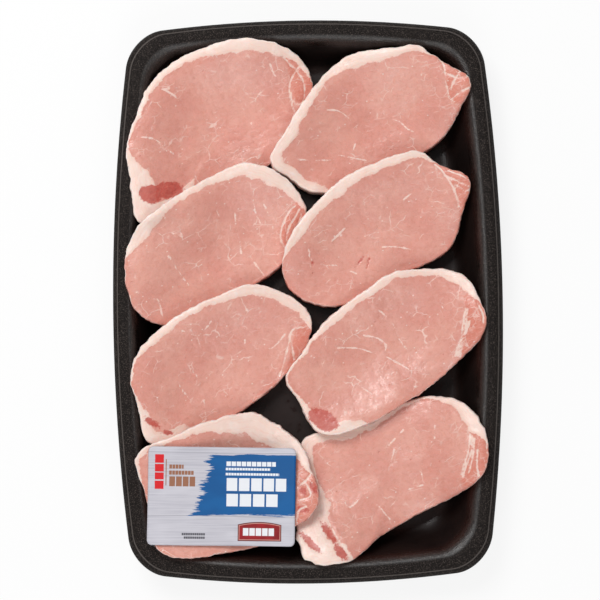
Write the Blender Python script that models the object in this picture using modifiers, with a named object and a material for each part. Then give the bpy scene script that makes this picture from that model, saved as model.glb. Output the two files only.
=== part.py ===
"""Meat tray pack: eight boneless loin chops shingled in an open black foam tray, with a card label.

Metres, +Z up. The origin is on the underside, in the middle of the tray. The tray's length runs
along Y, and the chops lie in two columns of four, each one laid over the edges of those before it.
"""

import math

import bmesh
import bpy
import numpy as np
from mathutils import Vector
from mathutils.bvhtree import BVHTree

MM = 0.001

# Tray, over the outside of its rim
TRAY_LENGTH = 350 * MM
TRAY_WIDTH = 242 * MM
TRAY_HEIGHT = 32 * MM
FOAM = 3.6 * MM
SIDE_BOW = 11.4 * MM
END_BOW = 8 * MM
RIM_RADIUS = 22 * MM
FLOOR_RADIUS = 15 * MM
CORNER_STEPS = 6
END_STEPS = 6
SIDE_STEPS = 9

# Tray section, from the rim's edge to the floor: (inset from the edge, height of the upper face)
TRAY_SECTION = (
    (0.0 * MM, TRAY_HEIGHT - 5.0 * MM),
    (1.5 * MM, TRAY_HEIGHT - 2.6 * MM),
    (3.9 * MM, TRAY_HEIGHT - 0.5 * MM),
    (6.2 * MM, TRAY_HEIGHT),
    (10.8 * MM, TRAY_HEIGHT - 0.3 * MM),
    (13.2 * MM, TRAY_HEIGHT - 2.2 * MM),
    (19.6 * MM, TRAY_HEIGHT - 17.5 * MM),
    (22.4 * MM, TRAY_HEIGHT - 23.5 * MM),
    (26.0 * MM, TRAY_HEIGHT - 27.2 * MM),
    (31.0 * MM, FOAM),
)

# Chops
CHOP_THICKNESS = 16 * MM
THINNEST = 6 * MM
OUTLINE_POWER = 2.3
SPOKES = 40
GAP = 0.3 * MM
CELL = 2 * MM
SAG = 0.03 / MM
SETTLE_ROUNDS = 900
TOP_BLUR = 24 * MM
WAVE = 0.5 * MM
WAVE_LENGTHS = (17 * MM, 21 * MM)
WAVE_SHIFT = 90
EDGE_SAMPLES = 720
PRESSED_LEVEL = 40 * MM
PRESS_SOFTNESS = 2.5 * MM
EASE_ROUNDS = 120
EASE_STEP = 0.25 * MM
EASE_REACH = 9 * MM

# Upper and lower faces of a chop, from the middle out: (share of the radius, inset from the edge,
# height as a share of the thickness)
UPPER_RINGS = (
    (0.42, 0, 1.0),
    (0.78, 0, 1.0),
    (1, 6.5 * MM, 0.99),
    (1, 2.0 * MM, 0.94),
    (1, 0.4 * MM, 0.78),
)
LOWER_RINGS = (
    (1, 0.7 * MM, 0.2),
    (1, 2.6 * MM, 0.04),
    (1, 8 * MM, 0.0),
    (0.72, 0, 0.0),
    (0.36, 0, 0.0),
)
EDGE_HEIGHT = 0.5

# Each chop in the order laid: place of its middle, turn, half length and half width, and the
# bulges of its edge as (direction in degrees from its long axis, reach, spread in degrees).
# The bulges near 205 degrees are the fat tail, and those near 0 the seamed muscle at the other end.
CHOPS = {
    "chop_left_1": (
        (-56.4, 111.9), 28.6, (62.6, 42.0),
        (
            (3, 4.7, 20), (46, 1.2, 11), (90, 2.8, 31), (152, -8.1, 22),
            (205, 12.6, 15), (206, 10.8, 8), (255, -5.4, 33),
        ),
    ),
    "chop_right_1": (
        (39.8, 115.6), 18.5, (56.3, 37.0),
        (
            (-2, 10.2, 10), (36, 3.3, 7), (87, 2.6, 17), (150, -9.0, 27),
            (187, 12.9, 10), (213, 11.5, 21), (282, -1.7, 27),
        ),
    ),
    "chop_left_2": (
        (-57.2, 36.1), 31.2, (59.4, 36.3),
        (
            (-12, 2.3, 19), (38, 4.5, 18), (87, 0.6, 20), (141, 1.6, 14),
            (191, 6.0, 14), (211, 6.5, 14), (255, -1.9, 34),
        ),
    ),
    "chop_right_2": (
        (46.1, 45.1), 14.0, (50.2, 37.6),
        (
            (13, 11.9, 12), (49, 3.5, 7), (50, 6.8, 29), (143, -4.4, 26),
            (199, 20.1, 29), (227, 5.0, 13), (292, -6.5, 34),
        ),
    ),
    "chop_left_3": (
        (-59.6, -37.9), 30.4, (60.8, 34.8),
        (
            (-6, 6.9, 18), (33, 4.0, 12), (82, 0.7, 34), (165, -3.5, 23),
            (178, -5.7, 18), (203, 10.0, 11), (266, 1.1, 15),
        ),
    ),
    "chop_right_4": (
        (49.2, -105.9), 23.3, (57.9, 36.8),
        (
            (-25, 3.3, 12), (13, 6.3, 34), (89, -5.4, 26), (137, 11.5, 13),
            (205, 21.5, 19), (224, 6.2, 7), (286, -4.0, 34),
        ),
    ),
    "chop_left_4": (
        (-45.1, -112.5), 14.0, (55.6, 41.4),
        (
            (-7, -6.1, 15), (24, -9.0, 27), (64, 1.3, 12), (150, 11.1, 13),
            (203, 4.9, 13), (215, 6.3, 17), (304, -2.5, 11),
        ),
    ),
    "chop_right_3": (
        (46.4, -31.1), 34.3, (64.8, 36.5),
        (
            (-24, 6.3, 14), (6, 3.9, 12), (50, 3.2, 12), (165, -6.2, 26),
            (162, 9.5, 10), (199, 6.2, 15), (255, -1.2, 17),
        ),
    ),
}

# Label card, lying on the last chop of the left column
LABEL_SIZE = (90 * MM, 60 * MM)
LABEL_THICKNESS = 0.5 * MM
LABEL_RADIUS = 3 * MM
LABEL_AT = (-54 * MM, -120.6 * MM)
LABEL_TURN = -1.5
LABEL_SAG = 0.0006 / MM
LABEL_STEPS = (9, 6)


def clear_scene():
    for thing in list(bpy.data.objects):
        bpy.data.objects.remove(thing, do_unlink=True)


def make_material(name, colour, roughness):
    material = bpy.data.materials.new(name)
    material.use_nodes = True
    shader = material.node_tree.nodes["Principled BSDF"]
    shader.inputs["Base Color"].default_value = (*colour, 1)
    shader.inputs["Roughness"].default_value = roughness
    shader.inputs["Metallic"].default_value = 0
    return material


def add_object(name, mesh, material, collection):
    thing = bpy.data.objects.new(name, mesh)
    thing.data.materials.append(material)
    collection.objects.link(thing)
    return thing


def evaluated_shape(thing):
    """The corner points and faces of the object with its modifiers."""
    graph = bpy.context.evaluated_depsgraph_get()
    shape = thing.evaluated_get(graph)
    mesh = shape.to_mesh()
    points = [thing.matrix_world @ corner.co for corner in mesh.vertices]
    faces = [tuple(face.vertices) for face in mesh.polygons]
    shape.to_mesh_clear()
    return points, faces


# ---------------------------------------------------------------- tray


def rounded_outline(half_x, half_y, radius):
    """Corners of radius joined by straight sides, counter-clockwise, then bowed outwards."""
    corners = ((1, 1, 0), (-1, 1, 90), (-1, -1, 180), (1, -1, 270))
    steps = (END_STEPS, SIDE_STEPS, END_STEPS, SIDE_STEPS)
    points = []
    for index, (sign_x, sign_y, start) in enumerate(corners):
        centre = Vector((sign_x * (half_x - radius), sign_y * (half_y - radius)))
        for step in range(CORNER_STEPS + 1):
            angle = math.radians(start + 90 * step / CORNER_STEPS)
            points.append(centre + radius * Vector((math.cos(angle), math.sin(angle))))
        next_x, next_y, next_start = corners[(index + 1) % 4]
        angle = math.radians(next_start)
        target = Vector((next_x * (half_x - radius), next_y * (half_y - radius)))
        target += radius * Vector((math.cos(angle), math.sin(angle)))
        last = points[-1]
        points += [last.lerp(target, step / steps[index]) for step in range(1, steps[index])]
    bowed = []
    for point in points:
        across = 1 - SIDE_BOW / half_x * (point.y / half_y) ** 2
        along = 1 - END_BOW / half_y * (point.x / half_x) ** 2
        bowed.append((point.x * across, point.y * along))
    return bowed


def build_tray(collection):
    depth = TRAY_SECTION[-1][0]
    shape = bmesh.new()
    rings = []
    for inset, height in TRAY_SECTION:
        radius = RIM_RADIUS + (FLOOR_RADIUS - RIM_RADIUS) * inset / depth
        outline = rounded_outline(TRAY_WIDTH / 2 - inset, TRAY_LENGTH / 2 - inset, radius)
        rings.append([shape.verts.new((x, y, height)) for x, y in outline])
    for outer, inner in zip(rings, rings[1:]):
        count = len(outer)
        for index in range(count):
            after = (index + 1) % count
            shape.faces.new((outer[index], outer[after], inner[after], inner[index]))
    shape.faces.new(rings[-1])
    mesh = bpy.data.meshes.new("tray")
    shape.to_mesh(mesh)
    shape.free()
    mesh.shade_smooth()
    foam = make_material("black_foam", (0.022, 0.018, 0.016), 0.6)
    tray = add_object("tray", mesh, foam, collection)
    shell = tray.modifiers.new("foam", "SOLIDIFY")
    shell.thickness = FOAM
    shell.offset = -1
    shell.use_even_offset = True
    return tray


# ---------------------------------------------------------------- laying soft pieces on what is below


class Ground:
    """The highest surface so far over a square grid, and every solid that makes it."""

    def __init__(self):
        half_x, half_y = TRAY_WIDTH / 2, TRAY_LENGTH / 2
        self.xs = np.arange(-half_x, half_x + CELL, CELL)
        self.ys = np.arange(-half_y, half_y + CELL, CELL)
        self.height = np.zeros((len(self.ys), len(self.xs)))
        self.solids = []

    def add(self, thing):
        tree = BVHTree.FromPolygons(*evaluated_shape(thing))
        self.solids.append(tree)
        top = Vector((0, 0, 1))
        for row, y in enumerate(self.ys):
            for column, x in enumerate(self.xs):
                hit = tree.ray_cast(Vector((x, y, top.z)), -top)[0]
                if hit is not None:
                    self.height[row, column] = max(self.height[row, column], hit.z)

    def at(self, field, x, y):
        """field's value at a point, between the four nearest cells."""
        column = min(max((x - self.xs[0]) / CELL, 0), len(self.xs) - 1.001)
        row = min(max((y - self.ys[0]) / CELL, 0), len(self.ys) - 1.001)
        left, below = int(column), int(row)
        across, up = column - left, row - below
        low = field[below, left] * (1 - across) + field[below, left + 1] * across
        high = field[below + 1, left] * (1 - across) + field[below + 1, left + 1] * across
        return low * (1 - up) + high * up


def highest_nearby(field, rounds):
    """Each cell takes the highest value around it, so that a coarse facet clears what is below."""
    for _ in range(rounds):
        padded = np.pad(field, 1, mode="edge")
        field = np.max([padded[1:-1, 1:-1], padded[:-2, 1:-1], padded[2:, 1:-1],
                        padded[1:-1, :-2], padded[1:-1, 2:]], axis=0)
    return field


def average_nearby(field, inside):
    """The mean of the four neighbours that the piece covers."""
    weight = np.pad(inside.astype(float), 1)
    value = np.pad(field, 1) * weight
    total = value[:-2, 1:-1] + value[2:, 1:-1] + value[1:-1, :-2] + value[1:-1, 2:]
    count = weight[:-2, 1:-1] + weight[2:, 1:-1] + weight[1:-1, :-2] + weight[1:-1, 2:]
    return np.where(count > 0, total / np.maximum(count, 1), field)


def settle(ground, inside, sag):
    """The under face of a limp piece over the covered cells: a loaded skin that touches what is below."""
    floor = highest_nearby(ground.height, 1) + GAP
    skin = floor.copy()
    step = sag * CELL * CELL / 4
    for _ in range(SETTLE_ROUNDS):
        skin = np.where(inside, np.maximum(floor, average_nearby(skin, inside) - step), floor)
    return skin


def blurred(field, inside, reach):
    rounds = int((reach / CELL) ** 2)
    for _ in range(rounds):
        field = np.where(inside, 0.5 * field + 0.5 * average_nearby(field, inside), field)
    return field


def ease_over(ground, thing):
    """Lifts the piece, most where it is too close to a solid below, until GAP is clear everywhere."""
    mesh = thing.data
    for _ in range(EASE_ROUNDS):
        points, faces = evaluated_shape(thing)
        tree = BVHTree.FromPolygons([point - Vector((0, 0, GAP)) for point in points], faces)
        close = {pair[0] for solid in ground.solids for pair in tree.overlap(solid)}
        if not close:
            return
        spots = np.array([points[corner].xy for face in close for corner in faces[face]])
        for corner in mesh.vertices:
            away = np.hypot(*(spots - np.array(corner.co.xy)).T).min()
            corner.co.z += EASE_STEP * math.exp(-((away / EASE_REACH) ** 2))
        mesh.update()
        bpy.context.view_layer.update()


# ---------------------------------------------------------------- chops


def chop_radius(half, bulges, angle):
    """Distance from a chop's middle to its edge: a blunt ellipse with bulges."""
    long_part = abs(math.cos(angle) / half[0]) ** OUTLINE_POWER
    wide_part = abs(math.sin(angle) / half[1]) ** OUTLINE_POWER
    radius = (long_part + wide_part) ** (-1 / OUTLINE_POWER)
    for direction, reach, spread in bulges:
        away = (math.degrees(angle) - direction + 180) % 360 - 180
        radius += reach * math.exp(-((away / spread) ** 2))
    return radius * MM


def even_angles(half, bulges, count):
    """Directions that space points evenly along the edge."""
    fine = [2 * math.pi * step / EDGE_SAMPLES for step in range(EDGE_SAMPLES + 1)]
    reach = [chop_radius(half, bulges, angle) for angle in fine]
    x = np.array(reach) * np.cos(fine)
    y = np.array(reach) * np.sin(fine)
    run = np.concatenate(([0], np.cumsum(np.hypot(np.diff(x), np.diff(y)))))
    return np.interp(np.arange(count) * run[-1] / count, run, fine)


def pressed(top):
    """A height eased down to the level that the packing pressed the meat to."""
    powers = math.exp(-top / PRESS_SOFTNESS) + math.exp(-PRESSED_LEVEL / PRESS_SOFTNESS)
    return -PRESS_SOFTNESS * math.log(powers)


def covered_cells(ground, at, turn, half, bulges):
    inside = np.zeros(ground.height.shape, bool)
    for row, y in enumerate(ground.ys):
        for column, x in enumerate(ground.xs):
            away = Vector((x - at[0], y - at[1]))
            angle = math.atan2(away.y, away.x) - turn
            inside[row, column] = away.length < chop_radius(half, bulges, angle) + CELL
    return inside


def build_chop(name, place, turn_degrees, half, bulges, ground, material, collection):
    at = (place[0] * MM, place[1] * MM)
    turn = math.radians(turn_degrees)
    inside = covered_cells(ground, at, turn, half, bulges)
    under = settle(ground, inside, SAG)
    level = blurred(under, inside, TOP_BLUR)
    angles = even_angles(half, bulges, SPOKES)
    edge = [chop_radius(half, bulges, angle) for angle in angles]

    def height(x, y, share):
        bottom = ground.at(under, x, y)
        wave = math.sin(x / WAVE_LENGTHS[0] + at[1] * WAVE_SHIFT)
        wave *= WAVE * math.cos(y / WAVE_LENGTHS[1] + at[0] * WAVE_SHIFT)
        top = pressed(ground.at(level, x, y) + CHOP_THICKNESS + wave)
        top = max(bottom + THINNEST, top)
        return bottom + (top - bottom) * share

    shape = bmesh.new()

    def ring(part, inset, share):
        corners = []
        for angle, reach in zip(angles, edge):
            distance = reach * part - inset
            x = at[0] + distance * math.cos(angle + turn)
            y = at[1] + distance * math.sin(angle + turn)
            corners.append(shape.verts.new((x, y, height(x, y, share))))
        return corners

    rings = [ring(*size) for size in UPPER_RINGS]
    rings.append(ring(1, 0, EDGE_HEIGHT))
    rings += [ring(*size) for size in LOWER_RINGS]
    for first, second in zip(rings, rings[1:]):
        for index in range(SPOKES):
            after = (index + 1) % SPOKES
            shape.faces.new((first[index], second[index], second[after], first[after]))
    top = shape.verts.new((*at, height(*at, 1)))
    bottom = shape.verts.new((*at, height(*at, 0)))
    for index in range(SPOKES):
        after = (index + 1) % SPOKES
        shape.faces.new((top, rings[0][index], rings[0][after]))
        shape.faces.new((bottom, rings[-1][after], rings[-1][index]))
    mesh = bpy.data.meshes.new(name)
    shape.to_mesh(mesh)
    shape.free()
    mesh.shade_smooth()
    chop = add_object(name, mesh, material, collection)
    bpy.context.view_layer.update()
    ease_over(ground, chop)
    return chop


# ---------------------------------------------------------------- label


def build_label(ground, collection):
    """A card bent only a little, so that it follows the chop under it."""
    turn = math.radians(LABEL_TURN)
    across = Vector((math.cos(turn), math.sin(turn)))
    along = Vector((-across.y, across.x))
    centre = Vector(LABEL_AT)
    inside = np.zeros(ground.height.shape, bool)
    for row, y in enumerate(ground.ys):
        for column, x in enumerate(ground.xs):
            away = Vector((x, y)) - centre
            near_x = abs(away.dot(across)) < LABEL_SIZE[0] / 2 + CELL
            near_y = abs(away.dot(along)) < LABEL_SIZE[1] / 2 + CELL
            inside[row, column] = near_x and near_y
    under = blurred(settle(ground, inside, LABEL_SAG), inside, LABEL_SIZE[1] / 3)

    shape = bmesh.new()
    bmesh.ops.create_grid(shape, x_segments=LABEL_STEPS[0], y_segments=LABEL_STEPS[1], size=0.5)
    half_x, half_y = LABEL_SIZE[0] / 2, LABEL_SIZE[1] / 2
    for corner in shape.verts:
        x, y = corner.co.x * LABEL_SIZE[0], corner.co.y * LABEL_SIZE[1]
        if abs(x) > half_x - MM / 10 and abs(y) > half_y - MM / 10:
            cut = LABEL_RADIUS * (1 - math.sqrt(0.5))
            x -= math.copysign(cut, x)
            y -= math.copysign(cut, y)
        spot = centre + x * across + y * along
        corner.co = (spot.x, spot.y, ground.at(under, spot.x, spot.y))
    mesh = bpy.data.meshes.new("label")
    shape.to_mesh(mesh)
    shape.free()
    card = make_material("label_card", (0.62, 0.62, 0.66), 0.4)
    label = add_object("label", mesh, card, collection)
    sheet = label.modifiers.new("card", "SOLIDIFY")
    sheet.thickness = LABEL_THICKNESS
    sheet.offset = 1
    bpy.context.view_layer.update()
    ease_over(ground, label)
    return label


def main():
    clear_scene()
    pack = bpy.data.collections.new("meat_tray_pack")
    bpy.context.scene.collection.children.link(pack)
    tray = build_tray(pack)
    bpy.context.view_layer.update()
    ground = Ground()
    ground.add(tray)
    meat = make_material("raw_meat", (0.72, 0.33, 0.26), 0.35)
    for name, (place, turn, half, bulges) in CHOPS.items():
        chop = build_chop(name, place, turn, half, bulges, ground, meat, pack)
        ground.add(chop)
    build_label(ground, pack)


main()
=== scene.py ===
"""Looks of the meat tray pack: raw loin chops in a black foam tray, with a printed card label."""
import math

import bmesh
import bpy
import numpy as np
from mathutils import Matrix, Vector, noise
from mathutils.bvhtree import BVHTree


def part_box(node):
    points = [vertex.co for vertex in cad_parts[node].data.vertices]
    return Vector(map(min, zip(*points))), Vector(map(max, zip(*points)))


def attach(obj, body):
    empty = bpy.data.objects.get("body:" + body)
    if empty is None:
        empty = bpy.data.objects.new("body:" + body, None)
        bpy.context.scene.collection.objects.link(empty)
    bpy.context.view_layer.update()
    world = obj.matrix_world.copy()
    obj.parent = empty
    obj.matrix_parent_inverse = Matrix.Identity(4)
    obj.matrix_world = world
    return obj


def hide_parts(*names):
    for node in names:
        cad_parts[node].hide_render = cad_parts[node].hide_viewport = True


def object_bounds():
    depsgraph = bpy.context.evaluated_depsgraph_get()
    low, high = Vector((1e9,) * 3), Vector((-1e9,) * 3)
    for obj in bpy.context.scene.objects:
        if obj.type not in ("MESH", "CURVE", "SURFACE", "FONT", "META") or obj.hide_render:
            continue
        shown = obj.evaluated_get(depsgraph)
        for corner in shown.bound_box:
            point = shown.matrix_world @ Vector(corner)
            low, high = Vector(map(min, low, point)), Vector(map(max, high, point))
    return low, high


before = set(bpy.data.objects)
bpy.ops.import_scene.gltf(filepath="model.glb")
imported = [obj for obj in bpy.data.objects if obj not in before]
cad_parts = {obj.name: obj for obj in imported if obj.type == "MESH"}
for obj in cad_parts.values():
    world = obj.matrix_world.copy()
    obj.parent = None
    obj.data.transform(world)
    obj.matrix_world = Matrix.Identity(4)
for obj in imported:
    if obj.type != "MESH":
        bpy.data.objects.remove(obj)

CAD_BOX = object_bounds()
MM = 0.001

# ---------------------------------------------------- sizes in millimetres, turns in degrees

FOAM = 3.6
SIDE_BOW = 11.4
END_BOW = 8.0
RIM_RADIUS = 22.0
FLOOR_RADIUS = 15.0
CORNER_STEPS = 16
END_STEPS = 18
SIDE_STEPS = 28
# (inset from the rim's edge, depth below the rim's top) of the tray's upper face
TRAY_SECTION = (
    (0.0, 5.0), (0.5, 4.1), (1.5, 2.6), (2.7, 1.5), (3.0, 1.3), (3.3, 1.0), (3.9, 0.5),
    (4.8, 0.1), (6.4, 0.0), (8.6, 0.1), (10.0, 0.35), (11.2, 0.85), (12.2, 1.6), (13.1, 2.7),
    (14.1, 4.6), (16.6, 10.2), (19.6, 17.5), (21.2, 21.2), (22.4, 23.5), (24.0, 25.7),
    (26.0, 27.2), (28.4, 28.1), (31.0, 28.4),
)
# The floor closes in shrinking copies of the section's last ring
FLOOR_SHARES = (0.9, 0.7, 0.45, 0.2)
FLOOR_RUN = 60.0
MIDDLE_INSET = 120.0

SPOKES = 336
TOP_RINGS = 54
SIDE_RINGS = 14
UNDER_RINGS = 8
EDGE_ROUND = 1.7
SIDE_WAY = 2.5
FAR = 60.0

# How the solid's faces are sampled: how far inside its edge, from what share of the way out, in how
# many rings, and how much they are then smoothed
SAMPLE_INSET = 3.4
SAMPLE_START = 0.04
SAMPLE_RINGS = 26
SAMPLE_BLUR = 5
SAMPLE_EASES = 4

# Relief of a chop's upper face: (height, size of the lumps, step of the seed)
RELIEF_LUMPS = ((0.35, 17, 0), (0.16, 6, 3), (0.07, 2.4, 4))
FAT_RISE = 0.25
SEAM_DEPTH = 0.45
SEAM_SPREAD = 0.9
DARK_DEPTH = 0.35
SKIN_DROP = 0.7
FOLD_REACH = 0.5

# For each chop: the turn of its long axis. Then, by direction in degrees from that axis, the
# width of its fat (below zero, the lean reaches the edge). Then seams between muscles and fine
# veins as bent lines, and patches of dark muscle as (middle, half length, half width, turn).
# Places are along and across the long axis, from the middle. Past the chain line the meat is the
# redder side muscle.
CHOPS = {
    "chop_left_1": dict(
        turn=28.6, seed=3,
        fat=((-8, -5), (0, 0.5), (6, 3), (25, 6.8), (42, 8.4), (63, 7.6), (84, 4.8), (115, 5.2),
             (134, 3.0), (152, 1.6), (158, 0.5), (165, 1.5), (173, 8.5), (184, 13.5), (194, 18),
             (204, 17), (212, 9), (219, 1), (226, -5)),
        seams=(((60, 12), (54, 8), (50, 2), (50, -4), (53, -7), (57, -4), (61, 3), (61, 9), (60, 12)),
               ((51, 2), (48, -4), (48, -10), (54, -9), (60, -6)),
               ((57, 23), (59, 16), (61, 12)),
               ((61, 13), (66, 13), (70, 13))),
        veins=(((-45, 21), (-38, 16), (-35, 9), (-32, 3)),
               ((48, 23), (47, 17), (49, 10)),
               ((20, -2), (21, -12)),
               ((-18, 40), (-15, 36), (-13, 32)),
               ((-19, 41), (-5, 36))),
        dark=(((-46, -15.5), 10, 5.2, -18), ((-56, -13), 7.5, 6, -35)),
        chain=((60, 30), (55, 12), (51, 0), (53, -12)),
    ),
    "chop_right_1": dict(
        turn=18.5, seed=11,
        fat=((15, -5), (21, 0.3), (28, 2.4), (38, 5.2), (50, 5.4), (66, 8.5), (85, 9.5),
             (104, 6.5), (124, 3.6), (144, 5.7), (157, 6.6), (168, 6.6), (180, 8.5), (190, 8.0),
             (202, 5.5), (214, 6.0), (222, 1), (228, -5)),
        seams=(((52, 22), (54, 15), (52, 6), (51, -4), (53, -8)),
               ((53, 11), (57, 7), (60, 5), (66, 4)),
               ((54, -1), (54, 1), (60, 7), (62, 8)),
               ((64, -3), (57, -4), (52, -6))),
        veins=(((-23, 14), (-16, 11), (-11, 4), (-8, -4), (-4, -8)),
               ((10, 1), (14, -4), (18, -7), (21, -13), (24, -16)),
               ((-51, -9), (-41, -13), (-29, -16)),
               ((-24, -15), (-17, -19), (-10, -23)),
               ((-15, -14), (-13, -11))),
        dark=(),
        chain=((52, 24), (54, 15), (52, 6), (51, -4), (53, -12)),
    ),
    "chop_left_2": dict(
        turn=31.2, seed=23,
        fat=((-22, -5), (-14, 0.5), (-6, 3.5), (3, 7.0), (16, 9.9), (31, 9.5), (48, 6.6),
             (67, 4.6), (90, 4.6), (116, 4.9), (134, 8.0), (148, 8.5), (154, 5.5), (158, -1.0),
             (165, -5)),
        seams=(((54, -5), (49, -6), (41, -11), (36, -17), (35, -24)),
               ((55, -8), (50, -11), (44, -14), (39, -19), (37, -26)),
               ((55, -11), (49, -16), (44, -18), (42, -24)),
               ((55, -14), (49, -19), (45, -23))),
        veins=(((20, 11), (16, 3), (13, -6), (10, -12)),
               ((34, 12), (31, 4), (30, -6)),
               ((38, 6), (37, -3), (35, -10)),
               ((-29, 9), (-29, -2), (-28, -12)),
               ((-6, 9), (-8, -2)),
               ((14, -21), (15, -31)),
               ((-58, 1), (-53, -7), (-49, -11), (-52, -20))),
        dark=(),
        chain=((54, -4), (49, -6), (41, -11), (36, -17), (35, -30)),
    ),
    "chop_right_2": dict(
        turn=14.0, seed=37,
        fat=((28, -5), (34, 1), (42, 5.0), (54, 6.5), (72, 6.0), (91, 6.5), (118, 8.1), (138, 6.2),
             (155, 6.1), (168, 7.5), (176, 6.5), (184, 2.0), (191, -5)),
        seams=(((45, 29), (49, 23), (52, 14), (53, 7), (53, 0)),
               ((48, 25), (51, 17), (53, 11)),
               ((49, 21), (55, 16), (62, 10)),
               ((52, 23), (59, 18), (64, 13)),
               ((54, 14), (59, 8), (62, 8))),
        veins=(((-44, -2), (-44, -9), (-37, -14), (-30, -16), (-24, -20), (-19, -24)),
               ((1, -12), (9, -14), (18, -18)),
               ((-31, 10), (-25, 7), (-22, 1)),
               ((-29, -1), (-19, 5)),
               ((30, 17), (21, 13))),
        dark=(((-15, -17), 2.2, 0.6, 40), ((-10, -19), 2.0, 0.5, 60), ((-44, -11), 1.4, 0.6, 60)),
        chain=((43, 32), (49, 23), (52, 14), (53, 7), (53, -2)),
    ),
    "chop_left_3": dict(
        turn=30.4, seed=41,
        fat=((-17, -5), (-10, 1), (-4, 4.6), (5, 7.5), (15, 7.0), (26, 6.6), (40, 7.2), (60, 5.0),
             (79, 4.8), (102, 4.2), (119, 5.4), (130, 5.6), (140, 3.2), (150, 1.2), (160, 0.2),
             (172, 1.0), (182, 4.0), (192, 8.5), (200, 10.5), (207, 8.0), (213, 2.0), (219, -5)),
        seams=(((57, -7), (50, -4), (45, -6), (44, -10), (40, -20)),
               ((46, -6), (41, -11), (33, -19), (27, -24)),
               ((36, -16), (32, -20))),
        veins=(((8, 26), (-3, 23), (-10, 30)),
               ((-4, 23), (-6, 16)),
               ((20, 6), (17, 0)),
               ((-29, 5), (-29, -2), (-28, -9)),
               ((-21, -13), (-26, -24)),
               ((26, 0), (31, -7), (43, -4)),
               ((-18, 9), (-17, 1)),
               ((-32, -25), (-26, -24))),
        dark=(((-55, -9), 6.5, 1.8, -62), ((-50, -19), 4.5, 1.4, -40)),
        chain=((57, -5), (50, -5), (45, -10), (38, -18), (28, -28)),
    ),
    "chop_right_3": dict(
        turn=34.3, seed=53,
        fat=((-14, -5), (-8, 1), (-1, 5.0), (5, 8.0), (11, 8.5), (18, 6.0), (27, 4.2), (38, 4.6),
             (59, 5.4), (73, 4.6), (94, 5.6), (108, 5.4), (122, 5.0), (136, 3.6), (150, 1.6),
             (165, 1.8), (178, 3.0), (188, 7.0), (197, 9.0), (205, 8.0), (212, 5.0), (220, 2.5),
             (228, -5)),
        seams=(((56, -6), (49, -13), (43, -20), (35, -28)),
               ((56.5, -7), (50, -14.5), (43.5, -21.5), (36, -29)),
               ((53, -14), (46, -20), (43, -26)),
               ((63, -8), (62, -15), (59, -20)),
               ((44, -19), (38, -23), (34, -27))),
        veins=(((11, 25), (14, 13), (12, 2), (12, -9)),
               ((-5, 16), (1, 10), (3, 4), (1, 1)),
               ((-23, 19), (-13, 12), (-5, 2)),
               ((-1, -3), (6, -17)),
               ((-27, -3), (-21, -19)),
               ((46, 8), (44, 0))),
        dark=(((-56, -12), 10.5, 6.0, -64),),
        chain=((58, 0), (56, -6), (49, -13), (43, -20), (35, -32)),
    ),
    "chop_left_4": dict(
        turn=14.0, seed=61,
        fat=((-14, -5), (-8, 1), (-3, 3.5), (5, 6.8), (13, 10.0), (25, 13.5), (40, 15.5),
             (62, 13.0), (83, 9.0), (103, 5.2), (120, 3.2), (138, 3.0), (155, 2.5), (165, 1.0),
             (172, -5)),
        seams=(((54, -4), (47, -10), (41, -12)),
               ((47, -10), (48, -19), (41, -20)),
               ((35, -33), (39, -26), (44, -25))),
        veins=(((5, 25), (9, 26)),
               ((47, -6), (51, -12)),
               ((39, -19), (43, -24), (46, -31)),
               ((42, -4), (45, -11))),
        dark=(((44, -15), 4.0, 2.2, 100), ((51, -15), 4.5, 2.0, 100), ((41, -26), 4.0, 2.0, 150)),
        chain=((44, 10), (42, -4), (38, -14), (33, -34)),
    ),
    "chop_right_4": dict(
        turn=23.3, seed=71,
        fat=((-6, -5), (-1, 1), (4, 7.5), (10, 10.0), (17, 8.9), (25, 4.8), (35, 2.4), (47, 2.2),
             (58, 2.4), (70, 4.8), (86, 4.4), (106, 5.4), (122, 6.6), (134, 8.4), (145, 9.0),
             (160, 13.0), (174, 18.0), (188, 21.0), (202, 19.0), (211, 10.0), (219, 1.5),
             (225, -5)),
        seams=(((55, 6), (50, -2), (45, -8), (40, -14)),
               ((55.5, 5), (51, -3.5), (45.5, -9.5), (40, -16)),
               ((56, 3), (51, -6), (44, -15)),
               ((55, -4), (51, -12), (49, -19)),
               ((62, -1), (59, -9)),
               ((-47, 1), (-46, -13), (-44, -27), (-42, -35))),
        veins=(((38, 20), (34, 12)),
               ((-32, 1), (-31, -5), (-23, -3)),
               ((9, 16), (4, 10)),
               ((-14, -12), (-11, -22)),
               ((7, -10), (17, -11)),
               ((19, 25), (7, 20))),
        dark=(((-49, -14), 9.5, 1.8, -80), ((-47, -27), 6.5, 3.0, -75), ((-62, -14), 9, 2.4, -70)),
        chain=((56, 8), (50, -2), (45, -8), (38, -18)),
    ),
}

LABEL_TURN = -1.5
LABEL_SIZE = (90.0, 60.0)
LABEL_RADIUS = 3.0
LABEL_THICKNESS = 0.5

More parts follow.
